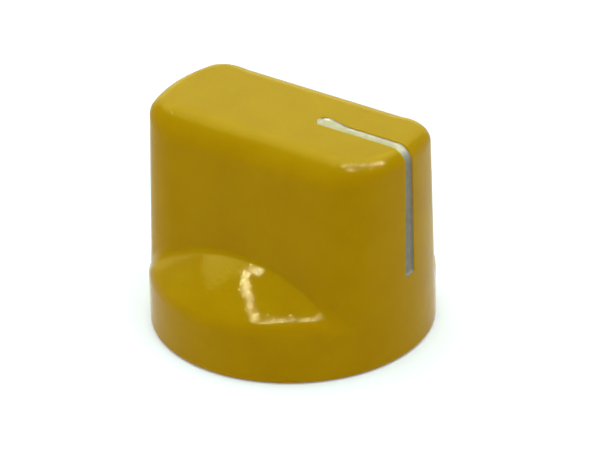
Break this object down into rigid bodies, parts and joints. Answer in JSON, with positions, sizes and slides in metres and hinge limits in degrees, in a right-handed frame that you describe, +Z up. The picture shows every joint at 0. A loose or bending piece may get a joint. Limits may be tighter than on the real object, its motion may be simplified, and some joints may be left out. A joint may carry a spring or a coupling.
{
  "type": "control knob",
  "caption": "Pointer-type control knob with scooped flanks, a white-filled indicator groove, a moulded-in brass bush and a radial set screw.",
  "frame": {"origin": "centre of the knob's round underside, on the shaft axis", "axes": "+Z up along the shaft axis to the flat top, -Y towards the pointer end with the indicator line, +X across the grip"},
  "size_m": [0.019, 0.019, 0.015],
  "materials": {
    "yellow_plastic": "glossy moulded, faintly rippled",
    "white_filling": "satin paint filling",
    "brass": "turned and knurled",
    "screw_steel": "black oxide"
  },
  "bodies": {
    "knob": {"knob_body": "yellow_plastic", "indicator_line": "white_filling", "brass_insert": "brass"},
    "set_screw": {"set_screw": "screw_steel"}
  },
  "joints": [
    {"name": "set_screw_travel", "type": "slide", "parent": "knob", "child": "set_screw", "axis": [0, 1, 0], "range_m": [-0.00175, 0.0008]}
  ]
}
